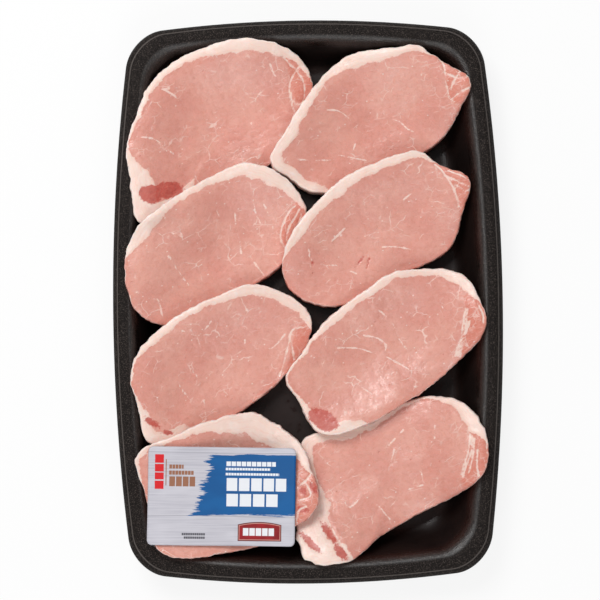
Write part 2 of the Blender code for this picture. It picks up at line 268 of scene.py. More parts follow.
# Print on the label, from its middle: (middle, half size, pitch of the blocks)
WHITE_PRINT = (
    ((17.5, 19.9), (15.2, 1.4), 3.1),
    ((15.7, 16.7), (13.7, 0.75), 1.7),
    ((18.4, 13.6), (16.4, 0.75), 1.7),
    ((21.0, 7.3), (18.7, 3.9), 7.5),
    ((18.4, -2.2), (16.1, 3.8), 8.1),
)
BROWN_PRINT = (
    ((-27.9, 17.8), (4.4, 1.25), 1.9),
    ((-24.9, 14.1), (7.5, 1.25), 1.9),
    ((-24.4, 8.8), (8.0, 3.0), 4.1),
)
GREY_PRINT = (
    ((-16.9, -23.1), (7.1, 0.7), 1.3),
    ((-16.3, -25.2), (6.4, 0.7), 1.3),
)
PLAQUE_PRINT = ((22.8, -21.4), (9.8, 2.3), 3.9)
RED_BLOCKS = (
    ((-38.2, 22.6), (2.7, 2.6)),
    ((-38.2, 17.0), (2.7, 2.3)),
    ((-38.2, 12.0), (2.7, 2.1)),
    ((-38.2, 6.6), (2.7, 2.5)),
)
BROWN_RULE = ((-34.1, 14.3), (0.25, 8.0))

# -------------------------------------- studio, in metres, watts and degrees; the lens in mm

SKY_LIGHT = 0.28
LAMPS = (
    ("key", (-0.38, 0.62, 1.15), 0.6, 12.0),
    ("fill", (0.02, -0.85, 0.95), 0.8, 5.4),
)
FLOOR_HALF = 4
FLOOR_DROP = 0.0005
FLOOR_GLOW = 0.85

CAMERA_TARGET_HEIGHT = 0.02
CAMERA_DISTANCE = 1.2
CAMERA_ELEVATION = 86.5
CAMERA_ROLL = -0.64
CAMERA_LENS = 115.4
CAMERA_SHIFT = (-0.0132, 0.0003)


def linear(red, green, blue):
    """A screen colour from 0 to 255 as linear values."""
    shares = [value / 255 for value in (red, green, blue)]
    return tuple(((s + 0.055) / 1.055) ** 2.4 if s > 0.04045 else s / 12.92 for s in shares)


# ---------------------------------------------------------------- shader helpers


class Shader:
    """A material's node tree, with short calls for the nodes used here."""

    def __init__(self, name):
        self.material = bpy.data.materials.new(name)
        self.material.use_nodes = True
        self.tree = self.material.node_tree
        self.surface = self.tree.nodes["Principled BSDF"]

    def node(self, kind):
        return self.tree.nodes.new(kind)

    def set(self, socket, value):
        if isinstance(value, bpy.types.NodeSocket):
            self.tree.links.new(value, socket)
        elif isinstance(value, tuple) and len(value) == 3 and socket.type == "RGBA":
            socket.default_value = (*value, 1)
        else:
            socket.default_value = value

    def attribute(self, name, vector=False):
        made = self.node("ShaderNodeAttribute")
        made.attribute_name = name
        return made.outputs["Vector" if vector else "Fac"]

    def maths(self, operation, first, second=0.0):
        made = self.node("ShaderNodeMath")
        made.operation = operation
        self.set(made.inputs[0], first)
        self.set(made.inputs[1], second)
        return made.outputs[0]

    def add(self, first, second):
        return self.maths("ADD", first, second)

    def times(self, first, second):
        return self.maths("MULTIPLY", first, second)

    def less(self, first, second):
        return self.maths("SUBTRACT", first, second)

    def ramp(self, value, low, high):
        """0 below low, 1 above high, and a smooth step between. low may be the larger."""
        made = self.node("ShaderNodeMapRange")
        made.interpolation_type = "SMOOTHSTEP"
        self.set(made.inputs["Value"], value)
        self.set(made.inputs["From Min"], low)
        self.set(made.inputs["From Max"], high)
        return made.outputs["Result"]

    def scaled(self, vector, sizes, offset=(0, 0, 0)):
        made = self.node("ShaderNodeVectorMath")
        made.operation = "MULTIPLY_ADD"
        self.set(made.inputs[0], vector)
        made.inputs[1].default_value = tuple(1 / size for size in sizes)
        made.inputs[2].default_value = offset
        return made.outputs[0]

    def noise(self, vector, sizes, detail=2.0, roughness=0.5, warp=0.0, offset=(0, 0, 0), colour=False):
        """Noise whose lumps are about as long as sizes, in the vector's units. Its mean is 0.5."""
        made = self.node("ShaderNodeTexNoise")
        self.set(made.inputs["Vector"], self.scaled(vector, sizes, offset))
        made.inputs["Scale"].default_value = 1
        made.inputs["Detail"].default_value = detail
        made.inputs["Roughness"].default_value = roughness
        made.inputs["Distortion"].default_value = warp
        return made.outputs["Color" if colour else "Fac"]

    def cells(self, vector, sizes, feature="F1", offset=(0, 0, 0)):
        made = self.node("ShaderNodeTexVoronoi")
        made.feature = feature
        self.set(made.inputs["Vector"], self.scaled(vector, sizes, offset))
        made.inputs["Scale"].default_value = 1
        return made

    def warped(self, vector, size, reach):
        """The vector moved about by noise, by up to reach."""
        moved = self.node("ShaderNodeVectorMath")
        moved.operation = "MULTIPLY_ADD"
        self.set(moved.inputs[0], self.noise(vector, (size,) * 3, detail=2, colour=True))
        moved.inputs[1].default_value = (reach,) * 3
        self.set(moved.inputs[2], vector)
        return moved.outputs[0]

    def mix(self, share, first, second):
        made = self.node("ShaderNodeMix")
        made.data_type = "RGBA"
        self.set(made.inputs["Factor"], share)
        self.set(made.inputs[6], first)
        self.set(made.inputs[7], second)
        return made.outputs[2]

    def split(self, vector):
        made = self.node("ShaderNodeSeparateXYZ")
        self.set(made.inputs[0], vector)
        return made.outputs

    def bump(self, height, distance, strength):
        made = self.node("ShaderNodeBump")
        made.inputs["Strength"].default_value = strength
        made.inputs["Distance"].default_value = distance
        self.set(made.inputs["Height"], height)
        return made.outputs[0]


# ---------------------------------------------------------------- materials


LEAN = linear(218, 151, 137)
LEAN_PALE = linear(225, 164, 149)
LEAN_DEEP = linear(208, 137, 122)
CHAIN = linear(214, 130, 112)
# Painted shade for the side faces of the chops
SHADED_SIDE = linear(196, 112, 97)
DARK_MUSCLE = linear(192, 84, 72)
DARKEST_MUSCLE = linear(150, 52, 46)
FAT = linear(241, 214, 202)
FAT_WARM = linear(236, 192, 175)
FAT_WHITE = linear(247, 231, 223)
VEIN = linear(246, 218, 207)


def meat_material():
    s = Shader("raw_pork")
    place = s.attribute("place", vector=True)
    fat = s.attribute("fat")
    seam = s.attribute("seam")
    vein_line = s.attribute("vein")
    dark = s.attribute("dark")
    chain = s.attribute("chain")
    inset = s.attribute("inset")
    along = s.attribute("along", vector=True)

    wide = s.noise(place, (26, 26, 26), detail=2)
    soft = s.noise(place, (7, 7, 7), detail=3, warp=0.4)
    middling = s.noise(place, (5, 3.4, 4), detail=3, roughness=0.6, offset=(9, 2, 5))
    fine = s.noise(place, (1.7, 1.4, 1.6), detail=3, roughness=0.6)
    grain = s.noise(s.warped(place, 6, 3), (2.6, 0.8, 1.5), detail=2, roughness=0.6, offset=(4, 4, 1))

    lean = s.mix(s.ramp(wide, 0.36, 0.66), LEAN, LEAN_PALE)
    lean = s.mix(s.times(s.ramp(middling, 0.45, 0.72), 0.42), lean, LEAN_DEEP)
    lean = s.mix(s.times(s.ramp(grain, 0.52, 0.74), 0.4), lean, LEAN_PALE)
    lean = s.mix(s.times(s.ramp(fine, 0.58, 0.8), 0.3), lean, LEAN_DEEP)
    edge_glow = s.times(s.ramp(s.add(inset, s.times(s.less(soft, 0.5), 5)), 5.0, 0.5), 0.3)
    lean = s.mix(edge_glow, lean, CHAIN)
    side_muscle = s.ramp(s.add(chain, s.times(s.less(fine, 0.5), 2.0)), -0.8, 1.2)
    chain_tone = s.mix(s.times(s.ramp(grain, 0.45, 0.65), 0.5), CHAIN, LEAN_PALE)
    lean = s.mix(s.times(side_muscle, 0.85), lean, chain_tone)

    # Pale veins: the larger ones lie where the vein lines are, broken and uneven in width.
    # Small ones are stretches of a warped net, kept only here and there.
    waver = s.add(s.times(s.less(soft, 0.5), 2.4), s.times(s.less(fine, 0.5), 1.1))
    branch = s.maths("ABSOLUTE", s.add(vein_line, waver))
    branch = s.times(s.ramp(branch, 0.5, 0.12), s.ramp(middling, 0.24, 0.4))
    bent = s.warped(place, 6, 4)
    net = s.cells(bent, (17, 12, 14), "DISTANCE_TO_EDGE").outputs["Distance"]
    keep = s.ramp(s.noise(place, (13, 13, 13), detail=1, offset=(3, 8, 1)), 0.54, 0.64)
    hair = s.times(s.ramp(net, 0.02, 0.005), s.times(keep, 0.8))
    twigs = s.cells(bent, (7, 4.5, 6), "DISTANCE_TO_EDGE", offset=(4, 4, 4)).outputs["Distance"]
    keep_twigs = s.ramp(s.noise(place, (8, 8, 8), detail=1, offset=(7, 3, 9)), 0.58, 0.68)
    near_chain = s.ramp(chain, -22, -4)
    keep_twigs = s.maths("MAXIMUM", keep_twigs, s.times(near_chain, s.ramp(soft, 0.45, 0.6)))
    twig = s.times(s.times(s.ramp(twigs, 0.05, 0.012), keep_twigs), 0.5)
    vein = s.maths("MAXIMUM", branch, s.maths("MAXIMUM", hair, twig))
    lean = s.mix(s.times(vein, 0.8), lean, VEIN)

    # Pale flecks and small deep-red nicks
    fleck = s.cells(place, (4.6, 3.4, 4), "F1", offset=(2, 6, 3))
    few = s.split(fleck.outputs["Color"])
    spot = s.times(s.ramp(fleck.outputs["Distance"], 0.15, 0.07), s.ramp(few[0], 0.70, 0.76))
    lean = s.mix(s.times(spot, 0.65), lean, FAT_WHITE)
    nick = s.cells(s.warped(place, 3, 2), (9, 4, 5), "F1", offset=(8, 1, 7))
    rare = s.split(nick.outputs["Color"])
    cut = s.times(s.ramp(nick.outputs["Distance"], 0.11, 0.04), s.ramp(rare[1], 0.8, 0.86))
    lean = s.mix(s.times(cut, 0.45), lean, DARK_MUSCLE)

    # Fat, with faint layers that follow the edge, and a painted highlight: a bright rim along its cut
    # edge
    layers = s.noise(along, (11, 1.0, 3), detail=3, warp=0.5)
    pale = s.mix(s.times(s.ramp(layers, 0.48, 0.72), 0.5), FAT, FAT_WARM)
    pale = s.mix(s.times(s.ramp(soft, 0.5, 0.72), 0.45), pale, FAT_WHITE)
    # Painted highlight: the fat turns whiter along its edge
    pale = s.mix(s.times(s.ramp(inset, 1.7, 0.3), 0.75), pale, FAT_WHITE)
    pale = s.mix(s.times(s.ramp(fat, 3.4, 0.0), 0.4), pale, FAT_WARM)

    wander = s.add(s.times(s.less(soft, 0.5), 3.6), s.times(s.less(fine, 0.5), 2.2))
    fat_part = s.ramp(s.add(fat, wander), -0.3, 0.4)
    seam_width = s.add(0.42, s.times(s.less(soft, 0.45), 1.6))
    seam_part = s.ramp(s.less(s.add(seam_width, s.times(s.less(fine, 0.5), 1.2)), seam), -0.3, 0.3)

    # Dark muscle, streaked; thin dark lines also part the side muscle
    dark_edge = s.add(dark, s.add(s.times(s.less(fine, 0.5), 3.2), s.times(s.less(soft, 0.5), 3.0)))
    dark_part = s.ramp(dark_edge, -0.4, 0.7)
    flesh = s.mix(s.times(s.ramp(grain, 0.45, 0.75), 0.35), DARK_MUSCLE, LEAN_DEEP)
    flesh = s.mix(s.times(s.ramp(middling, 0.52, 0.7), 0.35), flesh, DARKEST_MUSCLE)

    colour = s.mix(fat_part, lean, pale)
    colour = s.mix(s.times(dark_part, 0.92), colour, flesh)
    colour = s.mix(s.times(seam_part, 0.88), colour, FAT)

    # A painted highlight: a thin pale line edges the lean where the edge would catch the light; below
    # it the side of the cut is darkened with painted shade
    # Painted highlight: the lean turns pale along its edge, in places
    rim = s.add(inset, s.times(s.less(fine, 0.5), 1.2))
    rim = s.times(s.ramp(rim, 0.75, 0.3), s.ramp(rim, -0.7, -0.1))
    colour = s.mix(s.times(rim, s.times(s.ramp(soft, 0.36, 0.56), 0.6)), colour, FAT_WHITE)
    # Painted shade on the side of the cut, strongest where the side is lean
    side = s.times(s.ramp(inset, -0.4, -1.0), s.add(0.3, s.times(s.ramp(fat, 5, 0), 0.55)))
    colour = s.mix(side, colour, SHADED_SIDE)
    s.set(s.surface.inputs["Base Color"], colour)

    wet = s.noise(place, (3.2, 3.2, 3.2), detail=3, offset=(1, 1, 6))
    rough = s.add(0.22, s.times(s.ramp(wet, 0.35, 0.7), 0.24))
    s.set(s.surface.inputs["Roughness"], s.add(rough, s.times(fat_part, 0.08)))
    s.surface.inputs["Specular IOR Level"].default_value = 0.5
    s.surface.inputs["Subsurface Weight"].default_value = 0.16
    s.surface.inputs["Subsurface Radius"].default_value = (1.0, 0.45, 0.3)
    s.surface.inputs["Subsurface Scale"].default_value = 0.0018

    height = s.add(s.times(grain, 0.5), s.times(wet, 1.0))
    height = s.less(height, s.times(cut, 0.8))
    height = s.add(height, s.times(vein, 0.25))
    s.set(s.surface.inputs["Normal"], s.bump(height, 0.0004, 0.6))
    return s.material


def foam_material():
    s = Shader("black_foam")
    place = s.attribute("place", vector=True)
    inset = s.attribute("inset")
    beads = s.cells(s.warped(place, 1.2, 0.5), (1.0, 1.0, 1.0)).outputs["Distance"]
    pores = s.noise(place, (0.6, 0.6, 0.6), detail=2, roughness=0.6)
    cloud = s.noise(place, (16, 16, 16), detail=3)
    scuff = s.noise(place, (3, 9, 6), detail=3, roughness=0.65, offset=(2, 5, 2))
    rim = s.ramp(inset, 16, 12.5)
    speck = s.times(s.ramp(pores, 0.53, 0.66), s.add(0.08, s.times(rim, 0.92)))
    base = s.mix(s.ramp(cloud, 0.35, 0.7), linear(18, 12, 11), linear(24, 16, 14))
    base = s.mix(s.times(rim, 0.8), base, linear(20, 15, 13))
    base = s.mix(s.times(speck, 0.62), base, linear(92, 82, 77))
    base = s.mix(s.times(s.times(s.ramp(scuff, 0.6, 0.75), rim), 0.2), base, linear(84, 75, 70))
    base = s.mix(s.times(s.ramp(inset, 24, 29), 0.7), base, linear(40, 25, 22))
    # A painted highlight: the crease that the mould leaves round the rim is given a paler colour, as if
    # it caught a little light
    crease_highlight = s.maths("ABSOLUTE", s.less(inset, 3.0))
    base = s.mix(s.times(s.ramp(crease_highlight, 0.5, 0.1), 0.5), base, linear(118, 110, 106))
    s.set(s.surface.inputs["Base Color"], base)
    wet = s.times(s.ramp(cloud, 0.5, 0.58), s.ramp(inset, 24, 28))
    rough = s.less(s.add(0.38, s.times(s.add(rim, pores), 0.12)), s.times(wet, 0.2))
    # The foam's skin is stretched smooth where the rim rolls over into the wall
    roll = s.times(s.ramp(inset, 9, 11), s.ramp(inset, 17, 14))
    rough = s.less(s.add(rough, s.times(rim, 0.1)), s.times(roll, 0.34))
    s.set(s.surface.inputs["Roughness"], rough)
    shine = s.add(s.less(0.26, s.times(rim, 0.1)), s.times(roll, 0.6))
    s.set(s.surface.inputs["Specular IOR Level"], shine)
    height = s.add(s.times(beads, 0.6), s.times(pores, 1.0))
    height = s.times(height, s.less(s.add(0.16, s.times(rim, 0.84)), s.times(roll, 0.1)))
    s.set(s.surface.inputs["Normal"], s.bump(height, 0.0005, 0.55))
    return s.material


def bar(s, x, y, middle, half, soft=0.12):
    """1 inside a box on the label, 0 outside."""
    across = s.less(half[0], s.maths("ABSOLUTE", s.less(x, middle[0])))
    up = s.less(half[1], s.maths("ABSOLUTE", s.less(y, middle[1])))
    return s.ramp(s.maths("MINIMUM", across, up), -soft, soft)


def blocks(s, x, y, middle, half, pitch):
    """A row of plain blocks of equal pitch inside a box, with narrow gaps between them."""
    start = middle[0] - half[0]
    step = s.maths("FRACT", s.times(s.less(x, start), 1 / pitch))
    near = s.times(s.maths("ABSOLUTE", s.less(step, 0.5)), pitch)
    block = s.ramp(near, pitch * 0.43 + 0.08, pitch * 0.43 - 0.08)
    return s.times(bar(s, x, y, middle, half), block)


def card_material():
    s = Shader("printed_card")
    place = s.attribute("place", vector=True)
    x, y, _ = s.split(place)
    grain = s.noise(place, (40, 0.9, 5), detail=4, roughness=0.6)
    cloud = s.noise(place, (30, 12, 12), detail=2)
    card = s.mix(s.ramp(grain, 0.4, 0.68), linear(201, 199, 207), linear(185, 183, 193))
    card = s.mix(s.times(s.ramp(cloud, 0.45, 0.7), 0.5), card, linear(215, 213, 221))
    for height in (-12.2, 26.6):
        line = s.noise(place, (60, 60, 60), detail=1, offset=(height, 0, 0))
        wave = s.add(s.less(y, height), s.times(s.less(line, 0.5), 2.0))
        crack = s.ramp(s.maths("ABSOLUTE", wave), 0.32, 0.08)
        card = s.mix(s.times(crack, 0.6), card, linear(150, 148, 158))

    # A field of blue laid on with a dry brush: its left end and its long edges are ragged
    streak = s.noise(place, (24, 1.0, 3), detail=4, roughness=0.7)
    broad = s.noise(place, (30, 4.5, 3), detail=2, offset=(5, 5, 5))
    left = s.add(s.times(s.less(streak, 0.5), 20), s.times(s.less(broad, 0.5), 12))
    left = s.add(left, s.less(13.0, s.times(y, 0.27)))
    blue_x = s.ramp(s.add(x, left), -0.25, 0.25)
    edge = s.add(s.times(s.less(streak, 0.5), 6), s.times(s.less(broad, 0.5), 3))
    blue_top = s.ramp(s.less(s.add(25.4, edge), y), -0.15, 0.15)
    blue_low = s.ramp(s.add(s.add(y, 11.2), edge), -0.15, 0.15)
    blue = s.times(s.times(blue_x, blue_top), blue_low)
    card = s.mix(blue, card, s.mix(s.ramp(cloud, 0.4, 0.65), linear(0, 84, 146), linear(2, 92, 156)))

    # Rows of plain blocks stand for print
    white = linear(238, 240, 244)
    for middle, half, pitch in WHITE_PRINT:
        card = s.mix(s.times(blocks(s, x, y, middle, half, pitch), 0.96), card, white)
    for middle, half in RED_BLOCKS:
        card = s.mix(bar(s, x, y, middle, half), card, linear(216, 26, 34))
    brown = linear(150, 88, 42)
    card = s.mix(bar(s, x, y, *BROWN_RULE), card, brown)
    for middle, half, pitch in BROWN_PRINT:
        card = s.mix(s.times(blocks(s, x, y, middle, half, pitch), 0.9), card, brown)
    for middle, half, pitch in GREY_PRINT:
        card = s.mix(s.times(blocks(s, x, y, middle, half, pitch), 0.85), card, linear(40, 40, 50))

    # A dark red plaque with an arched top and a fine pale line inside its edge
    arch = s.times(s.maths("POWER", s.maths("ABSOLUTE", s.less(x, 23.4)), 2.0), 0.0095)
    crown = s.less(s.less(-15.3, arch), y)
    side = s.less(13.3, s.maths("ABSOLUTE", s.less(x, 23.4)))
    foot = s.add(y, 27.0)
    depth = s.maths("MINIMUM", s.maths("MINIMUM", crown, side), foot)
    mottle = s.ramp(s.noise(place, (9, 9, 9), detail=2), 0.4, 0.65)
    plaque = s.mix(mottle, linear(132, 14, 22), linear(158, 22, 30))
    card = s.mix(s.ramp(depth, -0.1, 0.1), card, linear(96, 14, 20))
    card = s.mix(s.ramp(depth, 1.0, 1.15), card, plaque)
    rule = s.times(s.ramp(depth, 0.5, 0.62), s.ramp(depth, 1.1, 0.98))
    card = s.mix(s.times(rule, 0.75), card, linear(226, 160, 148))
    card = s.mix(s.times(blocks(s, x, y, *PLAQUE_PRINT), 0.96), card, white)
    s.set(s.surface.inputs["Base Color"], card)
    s.set(s.surface.inputs["Roughness"], s.add(0.36, s.times(grain, 0.16)))
    s.surface.inputs["Specular IOR Level"].default_value = 0.4
    s.set(s.surface.inputs["Normal"], s.bump(grain, 0.00006, 0.4))
    return s.material


# ---------------------------------------------------------------- chops


def tree_of(node):
    """The CAD solid of a node, to cast rays at."""
    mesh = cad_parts[node].data
    corners = [vertex.co.copy() for vertex in mesh.vertices]
    return BVHTree.FromPolygons(corners, [tuple(face.vertices) for face in mesh.polygons])


def blurred_round(values, spread):
    """Smooths an array along its last axis, which closes on itself, by a bell of that many steps."""
    count = values.shape[-1]
    steps = np.minimum(np.arange(count), count - np.arange(count))
    bell = np.exp(-0.5 * (steps / spread) ** 2)
    bell /= bell.sum()
    return np.real(np.fft.ifft(np.fft.fft(values) * np.fft.fft(bell)))


def edge_distances(tree, centre, angles):
    """How far the solid reaches from its middle in each direction, seen from above, in mm."""
    down = Vector((0, 0, -1))
    reach = []
    for angle in angles:
        low, high = 5.0, 110.0
        for _ in range(14):
            middle = (low + high) / 2
            x = centre.x + middle * MM * math.cos(angle)
            y = centre.y + middle * MM * math.sin(angle)
            inside = tree.ray_cast(Vector((x, y, 1)), down)[0] is not None
            low, high = (middle, high) if inside else (low, middle)
        reach.append(low)
    return np.array(reach)


def heights(tree, x, y, upwards):
    """The solid's upper or under face at each point, in metres."""
    found = np.zeros(x.shape)
    start, way = (-1, Vector((0, 0, 1))) if upwards else (1, Vector((0, 0, -1)))
    for index in np.ndindex(x.shape):
        hit = tree.ray_cast(Vector((x[index], y[index], start)), way)[0]
        found[index] = hit.z if hit is not None else np.nan
    for row in range(1, x.shape[0]):
        found[row] = np.where(np.isnan(found[row]), found[row - 1], found[row])
    return found


def lumps(x, y, size, seed):
    """Smooth noise from -1 to 1 at each point, with lumps of that size in mm."""
    places = zip(x.ravel(), y.ravel())
    flat = np.array([noise.noise(Vector((a / size, b / size, seed))) for a, b in places])
    return flat.reshape(x.shape)


def path_distance(u, v, path):
    """Distance in mm from each point to a bent line."""
    best = np.full(u.shape, FAR)
    for (u0, v0), (u1, v1) in zip(path, path[1:]):
        du, dv = u1 - u0, v1 - v0
        share = np.clip(((u - u0) * du + (v - v0) * dv) / (du * du + dv * dv), 0, 1)
        best = np.minimum(best, np.hypot(u - u0 - share * du, v - v0 - share * dv))
    return best


def smooth_path(path, steps=6):
    """The corners joined by a Catmull-Rom curve."""
    points = np.array([path[0], *path, path[-1]], float)
    made = []
    for a, b, c, d in zip(points, points[1:], points[2:], points[3:]):
        for t in np.arange(steps) / steps:
            made.append(0.5 * (2 * b + (c - a) * t + (2 * a - 5 * b + 4 * c - d) * t**2
                               + (3 * b - a - 3 * c + d) * t**3))
    made.append(points[-1])
    return [tuple(point) for point in made]


def patch_depth(u, v, patch):
    """Depth in mm inside an oval, below zero outside it."""
    (at_u, at_v), long_half, short_half, turn = patch
    c, s = math.cos(math.radians(turn)), math.sin(math.radians(turn))
    a = ((u - at_u) * c + (v - at_v) * s) / long_half
    b = ((v - at_v) * c - (u - at_u) * s) / short_half
    return (1 - np.hypot(a, b)) * short_half


def nearest_line(u, v, lines):
    """Distance in mm from each point to the nearest of the curves through the lines' corners."""
    best = np.full(u.shape, FAR)
    for line in lines:
        best = np.minimum(best, path_distance(u, v, smooth_path(line)))
    return best


def deepest_patch(u, v, patches):
    """Depth in mm inside the deepest of the ovals, below zero outside them all."""
    best = np.full(u.shape, -FAR)
    for patch in patches:
        best = np.maximum(best, patch_depth(u, v, patch))
    return best


def past_chain(u, v, corners):
    """Distance in mm past the chain line, which ends at its highest corner."""
    line = sorted((across, along) for along, across in corners)
    past = u - np.interp(v, [across for across, _ in line], [along for _, along in line])
    highest = line[-1][0]
    return np.where(v > highest, np.minimum(past, highest - v), past)


def add_attribute(mesh, name, values):
    kind = "FLOAT_VECTOR" if values.ndim == 2 else "FLOAT"
    made = mesh.attributes.new(name, kind, "POINT")
    key = "vector" if values.ndim == 2 else "value"
    made.data.foreach_set(key, values.astype(np.float32).ravel())


def make_mesh(name, points, faces):
    mesh = bpy.data.meshes.new(name)
    mesh.from_pydata([tuple(point) for point in points], [], faces)
    mesh.update()
    mesh.shade_smooth()
    return mesh


def add_piece(name, mesh, material, replaced=None):
    piece = bpy.data.objects.new(name, mesh)
    bpy.context.scene.collection.objects.link(piece)
    mesh.materials.append(material)
    if replaced:
        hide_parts(replaced)
    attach(piece, "root")
    return piece


def fat_widths(look, directions):
    """Width of the fat in each direction, in mm."""
    angles = [angle for angle, _ in look["fat"]]
    widths = [width for _, width in look["fat"]]
    degrees = (np.degrees(directions) - angles[0]) % 360 + angles[0]
    return blurred_round(np.interp(degrees, angles, widths), 4)


def torn_edge(solid_edge, circle, width, seed):
    """The solid's edge with small teeth, which are larger where the fat is broad."""
    edge = blurred_round(solid_edge, 0.8)
    ragged = lumps(circle[0] * edge, circle[1] * edge, 6.5, seed) * 0.6
    ragged += lumps(circle[0] * edge, circle[1] * edge, 2.4, seed + 5) * 0.45
    return edge + ragged * (1 + np.clip(width - 9, 0, 9) / 6) - 0.2


def ring_radii(edge):
    """Rings from the middle to the edge, over it, and back to the middle below.

    Gives each point's radius, each ring's share of the way up, and how far out each side ring is.
    """
    inner = edge - EDGE_ROUND
    shares = np.linspace(0, 1, TOP_RINGS + 1)[1:]
    shares = 1 - (1 - shares) ** 1.25
    turns = np.radians(np.linspace(90, -90, SIDE_RINGS + 2)[1:-1])
    pull = np.abs(np.cos(turns)) ** 0.5
    rise = np.sign(turns) * np.abs(np.sin(turns)) ** 0.5
    over = shares[:, None] * inner
    side = edge - EDGE_ROUND * (1 - pull[:, None])
    under = np.linspace(1, 0.1, UNDER_RINGS)[:, None] * inner
    share_up = np.concatenate([np.ones(TOP_RINGS), 0.5 + 0.5 * rise, np.zeros(UNDER_RINGS)])
    return np.vstack([over, side, under]), share_up[:, None], pull


def face_heights(tree, centre, world, solid_edge, radius):
    """Heights of the solid's upper and under faces at each point of the rings, smoothed."""
    reach = solid_edge - SAMPLE_INSET
    sample_r = np.linspace(SAMPLE_START, 1, SAMPLE_RINGS)[:, None] * reach
    x = centre.x + sample_r * MM * np.cos(world)
    y = centre.y + sample_r * MM * np.sin(world)
    parts = np.clip(radius / reach, SAMPLE_START, 1)
    rows = (parts - SAMPLE_START) / (1 - SAMPLE_START) * (SAMPLE_RINGS - 1)
    below = np.minimum(rows.astype(int), SAMPLE_RINGS - 2)
    share = rows - below
    columns = np.arange(SPOKES)[None, :]
    found = []
    for upwards in (False, True):
        face = blurred_round(heights(tree, x, y, upwards), SAMPLE_BLUR)
        for _ in range(SAMPLE_EASES):
            face[1:-1] = 0.5 * face[1:-1] + 0.25 * (face[:-2] + face[2:])
        found.append(face[below, columns] * (1 - share) + face[below + 1, columns] * share)
    return found


def edge_insets(edge, radius):
    """Distance in mm in from the edge, measured across it, less the way round the side."""
    side_path = np.zeros(radius.shape)
    side_path[TOP_RINGS:TOP_RINGS + SIDE_RINGS] = np.linspace(0, SIDE_WAY, SIDE_RINGS)[:, None]
    side_path[TOP_RINGS + SIDE_RINGS:] = SIDE_WAY
    slope = np.gradient(edge) / (edge * 2 * math.pi / SPOKES)
    across = 1 / np.sqrt(1 + blurred_round(slope, 3) ** 2)
    return (edge - radius) * across - side_path


def surface_relief(u, v, fat, seam, dark, seed):
    """Small heights in mm: swells, raised fat, and sunken seams and dark muscle."""
    relief = sum(height * lumps(u, v, size, seed + step) for height, size, step in RELIEF_LUMPS)
    relief += FAT_RISE * np.clip(fat / 1.5 + 0.5, 0, 1)
    relief -= SEAM_DEPTH * np.exp(-((seam / SEAM_SPREAD) ** 2))
    relief -= DARK_DEPTH * np.clip(dark / 1.5 + 0.5, 0, 1)
    return relief - SKIN_DROP


def side_folds(around, pull, seed):
    """How far the side bulges in mm, in shallow folds; zero on the faces."""
    flat = np.zeros((SIDE_RINGS, SPOKES))
    down = np.linspace(0, 14, SIDE_RINGS)[:, None] + flat
    folds = np.zeros((TOP_RINGS + SIDE_RINGS + UNDER_RINGS, SPOKES))
    rows = slice(TOP_RINGS, TOP_RINGS + SIDE_RINGS)
    folds[rows] = lumps(around[None, :] + flat, down, 5, seed) * FOLD_REACH * pull[:, None]
    return folds


def closed_faces(rings):
    """Quads between the rings, and triangles to a crown and a belly, which are the last points."""
    faces = []
    for ring in range(rings - 1):
        for spoke in range(SPOKES):
            a = ring * SPOKES + spoke
            b = ring * SPOKES + (spoke + 1) % SPOKES
            faces.append((a, a + SPOKES, b + SPOKES, b))
    last = (rings - 1) * SPOKES
    for spoke in range(SPOKES):
        after = (spoke + 1) % SPOKES
        faces.append((rings * SPOKES, spoke, after))
        faces.append((rings * SPOKES + 1, last + after, last + spoke))
    return faces


def add_marks(mesh, marks, u, v, height, around, far, seed):
    """Gives the mesh what the meat's material reads at each point."""

    def spread(values, middle, under):
        return np.append(values.ravel(), (middle, under))

    # Each mark's value at the crown and the belly, and the lowest value that it is held to
    for name, middle, lowest in (
        ("fat", -far, -20),
        ("seam", 20, 0),
        ("vein", 20, 0),
        ("dark", -20, -20),
        ("chain", -20, -20),
    ):
        add_attribute(mesh, name, np.clip(spread(marks[name], middle, middle), lowest, 20))
    inset = spread(marks["inset"], far, far)
    add_attribute(mesh, "inset", inset)
    place = (spread(u, 0, 0) + seed * 200, spread(v, 0, 0), spread(height / MM, 0, 0))
    add_attribute(mesh, "place", np.stack(place, 1))
    along = (spread(around + 0 * u, 0, 0), inset, np.full(inset.shape, seed * 7.0))
    add_attribute(mesh, "along", np.stack(along, 1))


